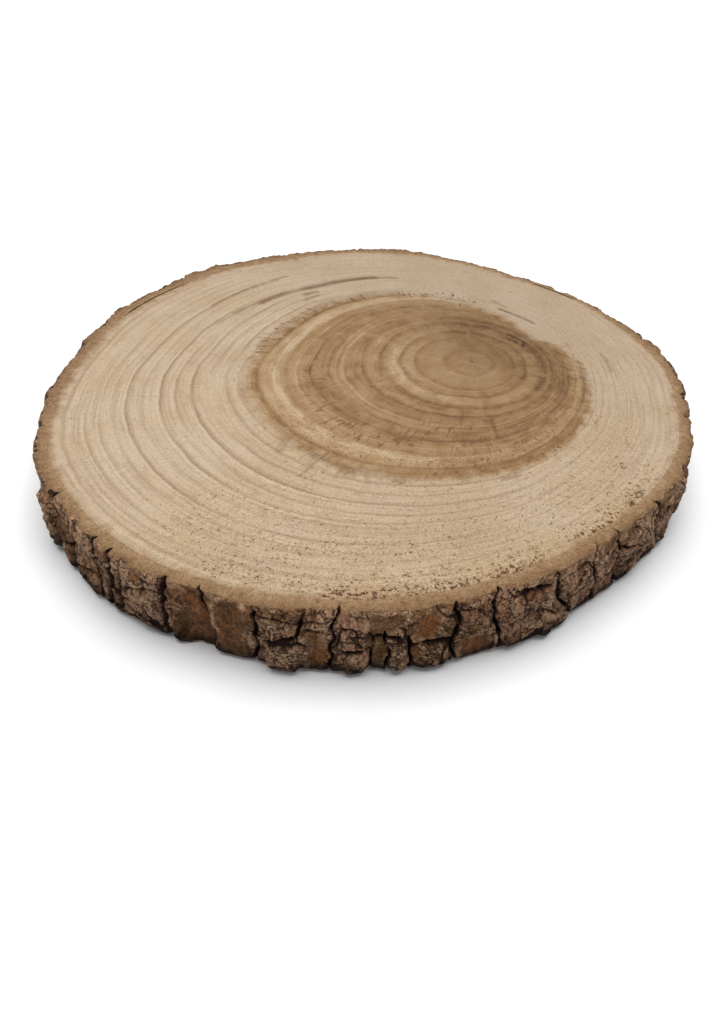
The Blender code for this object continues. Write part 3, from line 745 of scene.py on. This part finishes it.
def side_ring(angle, depth):
    """One ring of points down the bark's side: radius, depth and looks."""
    radius, looks = bark_surface(angle, depth)
    spill = around(SPILLS, angle) * (1.0 + SPILL_RAGGED * lumps(angle, depth, *SPILL_LUMPS))
    cut = 1.0 - smooth_step(depth / np.maximum(spill, LEAST_SPILL))
    # Painted shadow along the foot, added to the darkening of the hollows
    painted_foot_shadow = PAINTED_FOOT_SHADOW * smooth_step(1.0 - (THICKNESS - depth) / PAINTED_FOOT_SHADOW_HEIGHT)
    hollow = np.minimum(looks["hollow"] + painted_foot_shadow, 1.0)
    low = 0 * angle + depth / THICKNESS
    return radius, depth, dict(looks, hollow=hollow, cut=cut * (1.0 - hollow), rim=0 * angle, low=low)


def make_bark(material):
    """The ring of bark, and the middle of its box, which is also the slice's."""
    angle = np.arange(BARK_COLUMNS) * 360.0 / BARK_COLUMNS
    inner = around(WOOD_RADII, angle) - SEAM_OVERLAP + lift(angle)
    rings = cut_rings(angle, inner, 0.0, BAND_SHARES)
    rings += [side_ring(angle, depth) for depth in np.linspace(*SIDE_DEPTHS, BARK_SIDE_ROWS)]
    rings += cut_rings(angle, inner, THICKNESS, BAND_SHARES[::-3])
    points = [np.column_stack((*on_circle(radius, angle), THICKNESS - depth + 0 * angle))
              for radius, depth, _ in rings]
    points = np.concatenate(points)
    middle = (points.min(axis=0) + points.max(axis=0))[:2] / 2
    points[:, :2] -= middle
    low, high = (np.array(corner) / METRES_PER_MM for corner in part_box("wood_slice"))
    points = np.clip(points, low, high)

    rows = len(rings)
    here = np.arange(rows * BARK_COLUMNS).reshape(rows, BARK_COLUMNS)
    below = np.roll(here, -1, axis=0)
    corners = (here, below, np.roll(below, -1, axis=1), np.roll(here, -1, axis=1))
    faces = np.column_stack([corner.ravel() for corner in corners])

    # Its map for baking: strips of the ring, laid side by side and above each other
    row, column = np.divmod(here.ravel(), BARK_COLUMNS)
    per_strip = BARK_COLUMNS / (STRIPS_ACROSS * STRIPS_UP)
    strip = column // per_strip
    width, height = 1 / STRIPS_ACROSS - 2 * MAP_MARGIN, 1 / STRIPS_UP - 2 * MAP_MARGIN
    left = strip % STRIPS_ACROSS / STRIPS_ACROSS + MAP_MARGIN
    left = left + width * (column / per_strip - strip)
    right = left + width / per_strip
    upper = (strip // STRIPS_ACROSS + 1) / STRIPS_UP - MAP_MARGIN - height * row / rows
    lower = upper - height / rows
    corner_places = np.column_stack((left, upper, left, lower, right, lower, right, upper))
    looks = joined([ring_looks for _, _, ring_looks in rings])
    return make_mesh("bark", points, faces.tolist(), corner_places, looks, material), middle


def srgb(red, green, blue):
    """A colour from screen values between 0 and 255."""
    def channel(value):
        value = value / 255.0
        return value / 12.92 if value <= 0.04045 else ((value + 0.055) / 1.055) ** 2.4
    return (channel(red), channel(green), channel(blue), 1.0)


class Value:
    """An output of a material's nodes, on which +, -, * and / each add one more node."""

    def __init__(self, shader, socket):
        self.shader = shader
        self.socket = socket

    def __add__(self, other):
        return self.shader.maths("ADD", self, other)

    def __sub__(self, other):
        return self.shader.maths("SUBTRACT", self, other)

    def __rsub__(self, other):
        return self.shader.maths("SUBTRACT", other, self)

    def __mul__(self, other):
        return self.shader.maths("MULTIPLY", self, other)

    def __truediv__(self, other):
        return self.shader.maths("DIVIDE", self, other)

    __radd__ = __add__
    __rmul__ = __mul__

    def between(self, at_zero, at_one):
        """A straight line through these two, where the value is 0 and where it is 1."""
        return self * (at_one - at_zero) + at_zero

    def rise(self, low, high):
        """A smooth step from 0 to 1 as the value goes from low to high."""
        inputs = {"Value": self, "From Min": low, "From Max": high}
        return self.shader.add("ShaderNodeMapRange", inputs, interpolation_type="SMOOTHSTEP")


class Shader:
    """A material's nodes, added by short calls that return their outputs. Sizes are in millimetres."""

    def __init__(self, name):
        self.material = bpy.data.materials.new(name)
        self.material.use_nodes = True
        self.tree = self.material.node_tree

    @cached_property
    def place(self):
        """Where each point lies on its piece."""
        here = self.add("ShaderNodeTexCoord", {}, "Object")
        return self.scaled(here, 1.0 / METRES_PER_MM)

    def feed(self, node, inputs):
        """Link or set a node's inputs, each given by its name or number."""
        for key, value in inputs.items():
            if isinstance(value, Value):
                self.tree.links.new(value.socket, node.inputs[key])
            else:
                node.inputs[key].default_value = value

    def finished(self, inputs):
        """The material, once its surface has these inputs."""
        self.feed(self.tree.nodes["Principled BSDF"], inputs)
        return self.material

    def add(self, kind, inputs, output=0, **settings):
        """One output of a new node with these inputs and settings."""
        node = self.tree.nodes.new(kind)
        for key, value in settings.items():
            setattr(node, key, value)
        self.feed(node, inputs)
        return Value(self, node.outputs[output])

    def maths(self, operation, *values):
        return self.add("ShaderNodeMath", dict(enumerate(values)), operation=operation)

    def vector(self, operation, *values):
        return self.add("ShaderNodeVectorMath", dict(enumerate(values)), operation=operation)

    def scaled(self, vector, scale):
        return self.add("ShaderNodeVectorMath", {0: vector, "Scale": scale}, operation="SCALE")

    def look(self, name):
        """What the mesh says of each of its points under this name."""
        return self.add("ShaderNodeAttribute", {}, "Fac", attribute_name=name)

    def noise(self, vector, size, detail=2.0, roughness=0.5, output="Fac"):
        inputs = {"Vector": vector, "Scale": 1.0 / size, "Detail": detail, "Roughness": roughness}
        return self.add("ShaderNodeTexNoise", inputs, output)

    def stretched_noise(self, scales, detail, roughness=0.5):
        """Noise with its own number of features to a millimetre along each axis."""
        return self.noise(self.vector("MULTIPLY", self.place, scales), 1.0, detail, roughness)

    def mix(self, factor, first, second, blend="MIX"):
        inputs = {0: factor, 6: first, 7: second}
        return self.add("ShaderNodeMix", inputs, 2, data_type="RGBA", blend_type=blend)

    def times(self, colour, bright):
        return self.mix(1.0, colour, bright, "MULTIPLY")

    def ramp(self, value, stops):
        """A colour or a grey read off a list of places between 0 and 1."""
        read = self.add("ShaderNodeValToRGB", {0: value})
        elements = read.socket.node.color_ramp.elements
        while len(elements) < len(stops):
            elements.new(1.0)
        for element, (place, colour) in zip(elements, stops):
            element.position = place
            element.color = colour if isinstance(colour, tuple) else (colour, colour, colour, 1.0)
        return read

    def bump(self, height, strength, reach):
        """The slope of a surface that stands out by up to this reach."""
        inputs = {"Height": height, "Strength": strength, "Distance": reach * METRES_PER_MM}
        return self.add("ShaderNodeBump", inputs)


class RingShader(Shader):
    """A shader that knows how old the wood is at each place, with noise that follows its rings."""

    def __init__(self, name, middle):
        super().__init__(name)
        pith = (PITH[0] - middle[0], PITH[1] - middle[1], 0.0)
        arm = self.vector("MULTIPLY", self.vector("SUBTRACT", self.place, pith), (1.0, 1.0, 0.0))
        self.direction = self.vector("NORMALIZE", arm)
        wobbles = [(self.noise(self.place, size, detail) - 0.5) * reach
                   for size, detail, reach in RING_WOBBLES]
        shift = wobbles[0] + wobbles[1]
        self.age = self.look("age") + shift
        self.ring = self.look("ring") + shift * RINGS_PER_MM

    def grain(self, turns, depth, detail=2.0, roughness=0.5):
        """Noise with this many features to a radian, and this size outwards."""
        outward = self.add("ShaderNodeCombineXYZ", {2: self.age / depth})
        place = self.vector("ADD", self.scaled(self.direction, turns), outward)
        return self.noise(place, 1.0, detail, roughness)


# Noise that wavers the rings: size, detail and reach, and how many rings a millimetre shifts
RING_WOBBLES = ((9.0, 3.0, 1.5), (1.6, 2.0, 0.35))
RINGS_PER_MM = 0.18
# Noise along the rings: features to a radian, size outwards, detail and roughness
STREAK_GRAIN = (3.0, 1.1, 3.0, 0.6)
TICK_GRAIN = (48.0, 4.0, 3.0)
HAIR_GRAIN = (260.0, 3.0, 1.0)
BLOTCH_GRAIN = (9.0, 5.0, 3.0)
# Other noise: clouds (size, detail and roughness), warm patches, grit and saw marks
CLOUDS = (6.0, 4.0, 0.6)
WARM_PATCHES = 26.0
GRIT_SCALES = (1.9, 2.9, 2.9)
COARSE_GRIT, COARSE_SHARE = 1.2, 0.24
TORN_PITS, PIT_STEP = (-0.27, 0.43), (0.675, 0.715)
SAW_SCALES = (0.08, 1.3, 0.1)
# A dark ring line's two fades (start, end and share), its end, and the pale line's, in rings
LINE_FADES = ((-0.4, 0.02, 1.25), (-0.2, -0.02, 0.75))
LINE_END = (0.0, 0.18)
PALE_END = (0.14, 0.34)
# How strongly each thing shows in the wood's colour, and then in its relief
LINE_SHARE, PALE_SHARE = 0.95, 0.6
SHADE_SHARE, HEART_LINES, HEART_STREAKS, HEART_CLOUDS = 0.55, 0.22, 0.75, 0.5
BLOTCH_SHARE, EDGE_CLOUDS, EDGE_TICKS = 0.9, 1.1, 0.25
TICK_SHARE, MOST_STREAK = 0.75, 0.92
FIBRE_SHARE, PIT_SHARE = 0.3, 0.95
RIM_MOTTLING, RIM_SPECKS = 1.9, 0.55
SAW_SHARE, GRIT_RELIEF, WOOD_RELIEF = 0.6, 1.2, (0.6, 0.42)

SAP_PALE = srgb(192, 171, 147)
SAP_LIGHT = srgb(205, 187, 164)
SAP_GREY = srgb(140, 114, 88)
SAP_WARM = srgb(186, 163, 135)
HEART_COLOURS = [(0.0, srgb(186, 162, 131)), (0.2, srgb(167, 139, 104)), (0.6, srgb(147, 114, 77)),
                 (1.0, srgb(107, 78, 49))]
STREAK_BROWN = srgb(104, 74, 44)
PIT_BROWN = srgb(82, 48, 27)
TORN_TINT = (0.96, 0.89, 0.77, 1.0)
RIM_COLOURS = [(0.0, srgb(128, 98, 69)), (0.4, srgb(144, 115, 84)), (0.9, srgb(163, 136, 105))]
RIM_DARK = srgb(92, 64, 42)


def grit_and_pits(shader, torn):
    """Fine grit, and the pits where it is deepest, more of them where the saw tore the wood."""
    grit = shader.stretched_noise(GRIT_SCALES, 1.0)
    coarse = shader.noise(shader.place, COARSE_GRIT, 1.0)
    uneven = torn * coarse.between(*TORN_PITS)
    pitted = grit * (1.0 - COARSE_SHARE) + coarse * COARSE_SHARE
    return grit, (pitted + uneven).rise(*PIT_STEP)


def rim_colour(shader):
    """The outermost wood and the cut bark, which run into each other and are browner outwards."""
    rim = shader.look("rim")
    broad = shader.noise(shader.place, 3.0, 5.0, 0.7) - 0.5
    fine = shader.noise(shader.place, 1.0, 4.0, 0.7)
    brown = shader.ramp(rim + broad * RIM_MOTTLING, RIM_COLOURS)
    specks = fine.rise(0.5, 0.68) * RIM_SPECKS
    return shader.mix(specks * rim.between(1.0, -0.2), brown, RIM_DARK)


def ring_lines(wood, clear, torn):
    """The dark line of each ring, which fades inwards, and the thin pale one outside it."""
    centred = wood.maths("FRACT", wood.ring + 0.5) - 0.5
    number = wood.maths("FLOOR", wood.ring + 0.5)
    own = wood.add("ShaderNodeTexWhiteNoise", {"W": number}, noise_dimensions="1D")
    varied = wood.grain(2.5, 6.0).rise(0.3, 0.6)
    shown = wood.maths("MAXIMUM", torn.between(1.0, 0.2), 0.2)
    strength = own.between(0.35, 1.0) * varied * clear * shown
    broad, thin = (centred.rise(start, end) * share for start, end, share in LINE_FADES)
    past = centred.rise(*LINE_END)
    line = (broad + thin) * past.between(0.5, 0.0) * strength
    return line, (past - centred.rise(*PALE_END)) * strength


def wood_material(middle):
    """Sawn wood: pale sapwood with soft grey rings, and brown heartwood in bands with dark ticks."""
    wood = RingShader("sawn_wood", middle)
    streaks = wood.grain(*STREAK_GRAIN)
    ticks = wood.grain(*TICK_GRAIN)
    hair = wood.grain(*HAIR_GRAIN)
    blotches = wood.grain(*BLOTCH_GRAIN)
    cloudy = wood.noise(wood.place, *CLOUDS) - 0.5
    clear = wood.look("clear")
    torn = wood.look("torn")
    outer = wood.age.rise(8.0, 35.0)
    line, pale = ring_lines(wood, clear, torn)

    # Sapwood
    sap = wood.mix(wood.noise(wood.place, WARM_PATCHES).rise(0.3, 0.7), SAP_PALE, SAP_WARM)
    sap = wood.mix(line * LINE_SHARE, sap, SAP_GREY)
    sap = wood.mix(pale * PALE_SHARE, sap, SAP_LIGHT)
    sap = wood.mix(streaks.rise(0.42, 0.72) * clear.between(0.14, 0.44), sap, SAP_GREY)

    # Heartwood: bands read off the list of tones, with the lines, and a ragged soft edge
    tones = [(age / OLDEST, tone) for age, tone in HEART_TONES]
    contrast = clear.between(0.55, 1.05)
    tone = (wood.ramp(wood.age / OLDEST, tones) - 0.5) * contrast + 0.5
    tone = tone + wood.look("shade") * SHADE_SHARE + (line - pale) * HEART_LINES
    uneven = streaks - 0.5 + (blotches - 0.5) * BLOTCH_SHARE
    tone = tone + (uneven * (outer * contrast) * HEART_STREAKS + cloudy * HEART_CLOUDS)
    ragged = (ticks - 0.5) * EDGE_TICKS + cloudy * EDGE_CLOUDS
    inside = (wood.look("heart") + ragged).rise(0.2, 0.8)
    colour = wood.mix(inside, sap, wood.ramp(tone, HEART_COLOURS))

    # Short radial ticks, streaks and spots
    colour = wood.mix(ticks.rise(0.55, 0.64) * wood.look("ticks") * TICK_SHARE, colour, STREAK_BROWN)
    streak = wood.look("streak")
    broken = streak * blotches.rise(0.3, 0.65).between(0.5, 0.8)
    colour = wood.mix(wood.maths("MINIMUM", broken, MOST_STREAK), colour, STREAK_BROWN)

    # A fine fibre and grit over everything, the browner rim, and the pits
    grit, pits = grit_and_pits(wood, torn)
    colour = wood.mix(torn, colour, TORN_TINT, "MULTIPLY")
    colour = wood.times(colour, wood.look("bright"))
    inward = wood.look("rim") + cloudy * EDGE_CLOUDS
    colour = wood.mix(inward.rise(1.04, 0.34), colour, rim_colour(wood))
    sugar = (grit - 0.5) * torn.between(0.7, 2.2)
    fibre = (hair - 0.5) * (outer * FIBRE_SHARE)
    colour = wood.times(colour, sugar + fibre + 1.0)
    holes = streak.rise(0.95, 1.15) * grit.rise(0.42, 0.52)
    pits = wood.maths("MAXIMUM", pits, holes)
    colour = wood.mix(pits * PIT_SHARE, colour, PIT_BROWN)
    relief = wood.stretched_noise(SAW_SCALES, 3.0) * SAW_SHARE + hair - (pits + grit) * GRIT_RELIEF
    return wood.finished({
        "Base Color": colour,
        "Roughness": streaks.between(0.68, 0.88),
        "Specular IOR Level": 0.25,
        "Normal": wood.bump(relief, *WOOD_RELIEF),
    })


# Cells whose borders are hairline cracks: their size, shape and bend
CELL_SIZE, CELL_SHAPE, CELL_BEND = 4.2, (1.0, 1.0, 0.6), (4.0, 4.0, 5.0)
# How strongly each thing shows in the bark's colour, and then in its relief
FLAKE_TINT, CELL_TINT, BROAD_TINT = 0.35, 0.5, 1.2
OLIVE_BROAD, OLIVE_UPRIGHT, DARK_UPRIGHT = 1.4, 0.3, 0.5
PLATE_LEVEL, PATCHY_BARE = 0.52, 1.8
SUNKEN_PAINTED_SHADE, FINE_SHARE = 0.6, 0.5
# Paler proud plates are partly wear and partly painted highlight; the pale lip along cracks is a painted
# highlight
WEAR_AND_HIGHLIGHT_SHARE, LIP_HIGHLIGHT_SHARE = 0.22, 0.3
HAIRLINE_SHARE, SPECK_SHARE = 0.85, 0.7
SPECKLE = 3.2
# How bright the lowest part of the bark's side stays under the painted shade that darkens it towards the
# foot
PAINTED_FOOT_SHADE = 0.62
CUT_TORN, CUT_PITS = 0.5, 0.8
LUMP_RELIEF, CRACK_RELIEF, CUT_RELIEF, BARK_RELIEF = 0.35, 0.6, 0.15, 1.4

PLATE_BROWN = srgb(128, 89, 60)
PLATE_COLOURS = [(0.0, srgb(118, 86, 49)), (0.3, PLATE_BROWN), (0.5, srgb(168, 134, 104)),
                 (0.8, srgb(154, 113, 90))]
PLATE_WEAR_AND_HIGHLIGHT = srgb(206, 172, 140)
# The dark of fissures and cracks, also used for the painted shade in grooves, where the relief sinks and at
# the foot
FISSURE_DARK = srgb(42, 22, 13)
BARE_ORANGE = srgb(124, 76, 38)
BARE_OLIVE = srgb(104, 74, 41)
BARE_DARK = srgb(76, 48, 28)


def hairline_cracks(bark, middling):
    """Borders of bent cells and curls: the cracks, a painted highlight along one side of them, and each
    cell's tone.
    """
    bend = bark.noise(bark.place, 2.0, 3.0, output="Color")
    bent = bark.vector("ADD", bark.place, bark.vector("MULTIPLY", bend, CELL_BEND))
    inputs = {"Vector": bark.vector("MULTIPLY", bent, CELL_SHAPE), "Scale": 1.0 / CELL_SIZE}
    border = bark.add("ShaderNodeTexVoronoi", inputs, "Distance", feature="DISTANCE_TO_EDGE")
    cell = bark.add("ShaderNodeTexVoronoi", inputs, "Color")
    hairline = (1.0 - border.rise(0.01, 0.05)) * middling.rise(0.41, 0.5)
    curl = bark.noise(bark.place, 4.5, 3.0)
    curled = bark.noise(bark.place, 9.0).rise(0.45, 0.55)
    off = bark.maths("ABSOLUTE", curl - 0.5)
    crack = (1.0 - off.rise(0.006, 0.024)) * curled
    # Painted highlight along one side of each curling crack
    lip_highlight = (curl.rise(0.51, 0.53) - curl.rise(0.54, 0.6)) * curled
    return bark.maths("MAXIMUM", hairline, crack), lip_highlight, cell


def bark_material():
    """Rough grey-brown bark with dark fissures, smoother brown bare patches and a tan cut face, with painted
    shade in its grooves, where its relief sinks and at its foot, and painted highlights on proud forms.
    """
    bark = Shader("bark")
    broad = bark.noise(bark.place, 14.0, 3.0)
    middling = bark.noise(bark.place, 3.5, 4.0, 0.6)
    fine = bark.noise(bark.place, 1.0, 4.0, 0.7)
    upright = bark.stretched_noise((1.2, 1.2, 0.2), 3.0, 0.6)
    off_fine = fine - 0.5
    proud = bark.look("proud")
    covered = bark.look("bare").between(1.0, 0.2)
    hairline, lip_highlight, cell = hairline_cracks(bark, middling)
    hairline = hairline * covered

    # The outer bark's plates, paler where they stand proud, partly from wear and partly as a painted
    # highlight
    tint = bark.look("tint") * FLAKE_TINT + cell * CELL_TINT + (broad - 0.5) * BROAD_TINT
    plate = bark.mix(middling.rise(0.5, 0.75), bark.ramp(tint, PLATE_COLOURS), PLATE_BROWN)
    # Paler where proud: partly wear, partly painted highlight
    worn = (proud + off_fine).rise(0.55, 1.0) * WEAR_AND_HIGHLIGHT_SHARE
    # Painted highlight along the cracks' lips
    plate = bark.mix(bark.maths("MAXIMUM", worn, lip_highlight * LIP_HIGHLIGHT_SHARE), plate, PLATE_WEAR_AND_HIGHLIGHT)

    # What shows where they have come away
    olive = (broad * OLIVE_BROAD + upright * OLIVE_UPRIGHT).rise(0.66, 0.9)
    bare = bark.mix(olive, BARE_ORANGE, BARE_OLIVE)
    bare = bark.mix((middling + upright * DARK_UPRIGHT).rise(0.72, 1.0), bare, BARE_DARK)
    bare_share = bark.look("bare") + (middling - PLATE_LEVEL) * PATCHY_BARE
    side = bark.mix(bare_share.rise(0.2, 0.95), plate, bare)

    # Dark fissures, hairline cracks and specks; painted shade in the grooves, where the fine relief sinks
    # and towards the foot
    # Painted shade where the fine relief sinks, added to the grooves' darkening
    hollow = bark.look("hollow") + (0.5 - proud) * SUNKEN_PAINTED_SHADE + off_fine * FINE_SHARE
    specks = bark.noise(bark.place, 0.7, 2.0, 0.6).rise(0.58, 0.66)
    for share in (hollow.rise(0.14, 0.62), hairline * HAIRLINE_SHARE, specks * SPECK_SHARE):
        side = bark.mix(share, side, FISSURE_DARK)
    # Painted shade: the side grows darker steadily towards its foot
    bright = bark.look("bright") * bark.look("low").between(1.0, PAINTED_FOOT_SHADE)
    side = bark.times(side, (off_fine * SPECKLE + 1.0) * bright)

    # The cut face, which spills a little down the side
    grit, pits = grit_and_pits(bark, CUT_TORN)
    cut = bark.times(rim_colour(bark), grit.between(0.2, 1.8))
    cut = bark.mix(pits * CUT_PITS, cut, PIT_BROWN)
    cut_look = bark.look("cut")
    colour = bark.mix((cut_look + off_fine).rise(0.35, 0.65), side, cut)
    relief = fine * covered.between(0.15, 0.4) + middling * LUMP_RELIEF - hairline * CRACK_RELIEF
    relief = relief * (1.0 - cut_look) - grit * CUT_RELIEF
    return bark.finished({
        "Base Color": colour,
        "Roughness": fine.between(0.75, 0.95),
        "Specular IOR Level": 0.2,
        "Normal": bark.bump(relief, 1.0, BARK_RELIEF),
    })


def make_floor():
    """A plain white floor just under the slice."""
    bpy.ops.mesh.primitive_plane_add(size=FLOOR_SIZE, location=(0.0, 0.0, -FLOOR_GAP))
    floor = bpy.context.object
    floor.name = "floor"
    white = {"Base Color": FLOOR_WHITE, "Roughness": FLOOR_ROUGHNESS, "Specular IOR Level": 0.0}
    floor.data.materials.append(Shader("floor_white").finished(white))


def make_light():
    """A large soft light above the slice, a little behind it and turned to it."""
    light = bpy.data.lights.new("overhead", "AREA")
    light.size = LIGHT_SIZE
    light.energy = LIGHT_WATTS
    lamp = bpy.data.objects.new("overhead", light)
    tilt = math.atan2(LIGHT_BACK, LIGHT_HEIGHT)
    lamp.matrix_world = Matrix.Translation((0.0, LIGHT_BACK, LIGHT_HEIGHT)) @ Matrix.Rotation(-tilt, 4, "X")
    bpy.context.scene.collection.objects.link(lamp)


def make_camera(middle):
    """The photograph's camera, found from the slice's outline and its real size."""
    bearing, elevation, roll = map(math.radians, (CAMERA_BEARING, CAMERA_ELEVATION, CAMERA_ROLL))
    upright = Matrix.Rotation(bearing, 4, "Z") @ Matrix.Rotation(math.pi / 2 - elevation, 4, "X")
    target = (CAMERA_TARGET[0] - middle[0], CAMERA_TARGET[1] - middle[1], THICKNESS)
    place = Matrix.Translation(METRES_PER_MM * Vector(target))
    back = Matrix.Translation((0.0, 0.0, METRES_PER_MM * CAMERA_DISTANCE))
    data = bpy.data.cameras.new("camera")
    data.sensor_width = SENSOR
    data.lens = VIEW_LENGTH_PIXELS * SENSOR / FRAME_HEIGHT_PIXELS
    data.clip_start = CLIP_START
    camera = bpy.data.objects.new("camera", data)
    camera.matrix_world = place @ upright @ back @ Matrix.Rotation(roll, 4, "Z")
    bpy.context.scene.collection.objects.link(camera)
    bpy.context.scene.camera = camera


def make_world():
    """Even white light from all round."""
    world = bpy.data.worlds.new("studio")
    world.use_nodes = True
    background = world.node_tree.nodes["Background"]
    background.inputs["Color"].default_value = (1.0, 1.0, 1.0, 1.0)
    background.inputs["Strength"].default_value = WORLD_STRENGTH
    bpy.context.scene.world = world
    bpy.context.scene.view_settings.view_transform = "Standard"


def main():
    bark, middle = make_bark(bark_material())
    wood = make_wood(wood_material(middle), middle)
    for piece in (wood, bark):
        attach(piece, "root")
        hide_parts("wood_slice")
    make_floor()
    make_world()
    make_light()
    make_camera(middle)


main()
